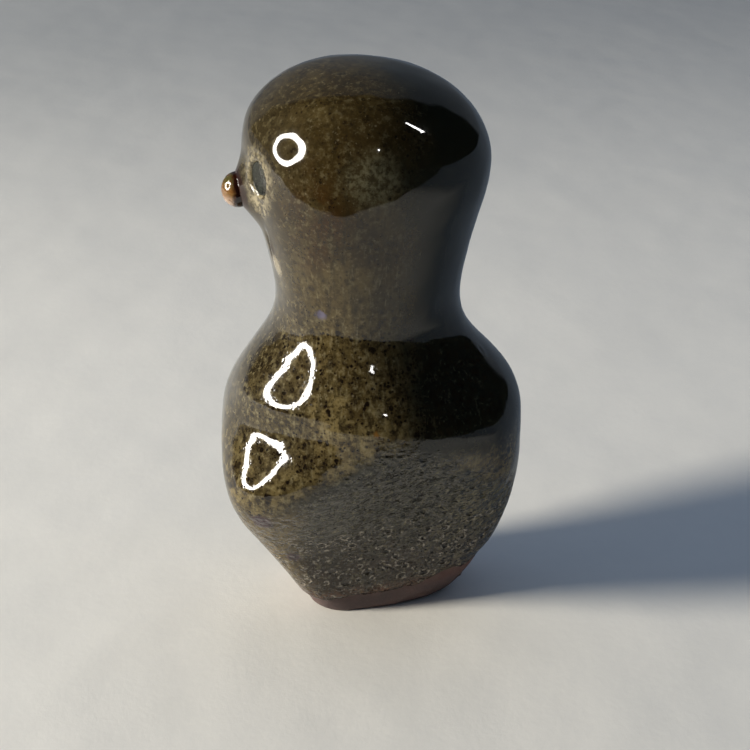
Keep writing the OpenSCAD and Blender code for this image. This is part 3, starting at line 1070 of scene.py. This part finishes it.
def make_small_lamp(name, angle, rise, width, height, roll):
    way = direction(math.radians(angle), math.radians(rise))
    place = HIGH_TARGET + way * SMALL_LAMP_DISTANCE
    bm = bmesh.new()
    bmesh.ops.create_grid(bm, x_segments=1, y_segments=1, size=0.5)
    size = Matrix.Diagonal((width, height, 1.0, 1.0))
    turned = aimed(place, HIGH_TARGET) @ Matrix.Rotation(roll, 4, "Z")
    bmesh.ops.transform(bm, matrix=turned @ size, verts=bm.verts)
    glow = glowing(name + "_light", LAMP_WHITE, SMALL_LAMP_STRENGTH)
    only_mirrored(stage_object(bm, name, glow))


def paper_material(stage):
    material, g, shader, mm = new_material("pale_paper")
    fibre = g.noise(mm, 0.35, 6.0, 0.7)
    crease = g.noise(mm, 0.03, 2.0)
    color = g.mix(g.product(g.remap(fibre, 0.3, 0.7), 0.10), stage.paper, (0.66, 0.66, 0.66))
    # Painted shade: the sheet turns darker and blue-grey towards -X, away from the camera, standing in
    # for softer light further back
    away = g.remap(g.add("ShaderNodeSeparateXYZ", {0: mm}).outputs[0], -30.0, -330.0, 0.0, 0.55)
    color = g.mix(away, color, (0.12, 0.15, 0.19))
    tree = g.tree
    tree.links.new(color, shader.inputs["Base Color"])
    shader.inputs["Roughness"].default_value = 0.9
    shader.inputs["Specular IOR Level"].default_value = 0.2
    g.relief(shader, g.math("ADD", g.product(fibre, 0.10), g.product(crease, 1.6)), 0.5)
    # For glossy rays the sheet is painted: near black beyond its near edge, a painted reflection of a
    # dark room; dim blue behind the bird, a painted shadow where its own shadow lies, and dim blue far
    # off in front of it. The camera sees only the sheet.
    toward = direction(math.radians(67), 0.0)
    reach = g.vector("DOT_PRODUCT", mm, tuple(toward))
    spots = g.add("ShaderNodeSeparateXYZ", {0: mm}).outputs
    behind = g.product(g.remap(spots[1], 8.0, 50.0), g.remap(spots[0], 60.0, 0.0))
    far = g.math("MAXIMUM", g.remap(spots[1], 90.0, 170.0), g.remap(spots[1], -280.0, -300.0))
    dim = g.math("MAXIMUM", behind, far)
    beyond = g.math("MAXIMUM", g.remap(reach, 98.0, 102.0), dim)
    unseen = g.tint((0.008, 0.008, 0.009), (0.12, 0.145, 0.18), dim, g.remap(reach, 102.0, 98.0))
    seen = g.add("ShaderNodeLightPath").outputs["Is Glossy Ray"]
    dark = g.add("ShaderNodeEmission", {"Color": unseen, "Strength": 1.0})
    share = g.product(beyond, seen)
    blend = g.add("ShaderNodeMixShader", {0: share, 1: shader.outputs[0], 2: dark.outputs[0]})
    output = next(n for n in tree.nodes if n.type == "OUTPUT_MATERIAL")
    tree.links.new(blend.outputs[0], output.inputs[0])
    return material


def make_floor(stage):
    bm = bmesh.new()
    bmesh.ops.create_grid(bm, x_segments=1, y_segments=1, size=2.5)
    return stage_object(bm, "paper_floor", paper_material(stage))


def make_world():
    """Pale to the eye, cool and dim as fill light, and a dark room in the glaze."""
    world = bpy.data.worlds.new("quiet_room")
    bpy.context.scene.world = world
    world.use_nodes = True
    tree = world.node_tree
    tree.nodes.clear()
    g = Graph(tree)
    way = g.add("ShaderNodeTexCoord").outputs["Generated"]
    behind = g.vector("DOT_PRODUCT", way, tuple(direction(math.radians(259), math.radians(14))))
    room = g.mix(g.remap(behind, 0.69, 0.74), (0.003, 0.003, 0.003), (0.105, 0.12, 0.14))
    sky = g.mix(g.remap(behind, -0.6, 0.9), (0.020, 0.026, 0.036), (0.26, 0.33, 0.45))
    paths = g.add("ShaderNodeLightPath")
    fill = g.mix(paths.outputs["Is Glossy Ray"], sky, room)
    color = g.mix(paths.outputs["Is Camera Ray"], fill, (0.50, 0.52, 0.54))
    back = g.add("ShaderNodeBackground", {"Color": color, "Strength": 1.0})
    output = g.add("ShaderNodeOutputWorld")
    tree.links.new(back.outputs[0], output.inputs[0])


# ---------------------------------------------------------------- operators


class BIRD_OT_camera(bpy.types.Operator):
    """Place the camera at the viewing angle"""

    bl_idname = "bird.camera"
    bl_label = "Place Camera"

    def execute(self, context):
        stage = context.scene.bird_stage
        data = bpy.data.cameras.new("view")
        data.lens = stage.lens
        data.sensor_width = 36.0
        data.dof.use_dof = False
        data.clip_start = 0.01
        camera = bpy.data.objects.new("view", data)
        context.scene.collection.objects.link(camera)
        target = Vector(stage.aim)
        place = target + direction(stage.view_angle, stage.view_rise) * stage.view_distance
        camera.location = place
        camera.rotation_euler = (target - place).to_track_quat("-Z", "Y").to_euler()
        context.scene.camera = camera
        return {"FINISHED"}


class BIRD_OT_groups(bpy.types.Operator):
    """Build the shared speck, bubble and run patterns"""

    bl_idname = "bird.groups"
    bl_label = "Build Patterns"

    def execute(self, context):
        build_specks_group()
        build_rings_group()
        build_runs_group()
        return {"FINISHED"}


class BIRD_OT_clay(bpy.types.Operator):
    """Make the clay body with its bare foot, and finish the hidden clay"""

    bl_idname = "bird.clay"
    bl_label = "Make Clay"

    def execute(self, context):
        settings = context.scene.bird_clay
        clay = material_once("bare_stoneware", clay_material, settings)
        finish_piece(make_body_clay(settings), "clay_body", clay, "bare_clay", "body_clay")
        for name in ("head_clay", "beak_clay"):
            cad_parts[name].material_slots[0].material = clay
        return {"FINISHED"}


class BIRD_OT_glaze(bpy.types.Operator):
    """Make the glaze coat over the clay"""

    bl_idname = "bird.glaze"
    bl_label = "Make Glaze Coat"

    def execute(self, context):
        settings = context.scene.bird_glaze
        coat = make_coat(settings, context.scene.bird_face)
        glaze = material_once("stoneware_glaze", glaze_material, settings)
        finish_piece(coat, "glaze_skin", glaze, "body_glaze", "glaze_coat")
        return {"FINISHED"}


class BIRD_OT_beak(bpy.types.Operator):
    """Make the honey bead at the tip of the face"""

    bl_idname = "bird.beak"
    bl_label = "Make Beak"

    def execute(self, context):
        face = context.scene.bird_face
        honey = material_once("amber_melt", honey_material, face)
        finish_piece(make_bead(), "beak_bead", honey, "honey_glaze", "beak_glaze")
        return {"FINISHED"}


class BIRD_OT_eyes(bpy.types.Operator):
    """Make the pools of glaze in the pressed eyes"""

    bl_idname = "bird.eyes"
    bl_label = "Make Eyes"

    def execute(self, context):
        face = context.scene.bird_face
        pooled = material_once("pooled_glaze", eye_material, face)
        for side in SIDES:
            pool = make_pool(side, face)
            finish_piece(pool, side + "_eye_pool", pooled, "eye_glaze", side + "_eye_glaze")
        return {"FINISHED"}


class BIRD_OT_stage(bpy.types.Operator):
    """Make the floor, the lamps and the room"""

    bl_idname = "bird.stage"
    bl_label = "Make Stage"

    def execute(self, context):
        stage = context.scene.bird_stage
        make_floor(stage)
        make_ring_lamp(stage)
        make_key_light(stage)
        for lamp in SMALL_LAMPS:
            make_small_lamp(*lamp)
        make_world()
        context.scene.view_settings.view_transform = "Standard"
        return {"FINISHED"}


class BIRD_PT_panel(bpy.types.Panel):
    """Lists the pieces of the bird"""

    bl_label = "Stoneware Bird"
    bl_idname = "BIRD_PT_panel"
    bl_space_type = "VIEW_3D"
    bl_region_type = "UI"
    bl_category = "Bird"

    def draw(self, context):
        for operator in OPERATORS:
            self.layout.operator(operator.bl_idname)


SETTINGS = {
    "bird_glaze": BirdGlazeSettings,
    "bird_face": BirdFaceSettings,
    "bird_clay": BirdClaySettings,
    "bird_stage": BirdStageSettings,
}
OPERATORS = (
    BIRD_OT_camera, BIRD_OT_groups, BIRD_OT_clay, BIRD_OT_glaze,
    BIRD_OT_beak, BIRD_OT_eyes, BIRD_OT_stage,
)
CLASSES = (*SETTINGS.values(), *OPERATORS, BIRD_PT_panel)


def register():
    for cls in CLASSES:
        bpy.utils.register_class(cls)
    for name, cls in SETTINGS.items():
        setattr(bpy.types.Scene, name, PointerProperty(type=cls))


def unregister():
    for name in SETTINGS:
        delattr(bpy.types.Scene, name)
    for cls in reversed(CLASSES):
        bpy.utils.unregister_class(cls)


def main():
    register()
    bpy.ops.bird.camera()
    bpy.ops.bird.groups()
    bpy.ops.bird.clay()
    bpy.ops.bird.glaze()
    bpy.ops.bird.beak()
    bpy.ops.bird.eyes()
    bpy.ops.bird.stage()


if __name__ == "__main__":
    main()
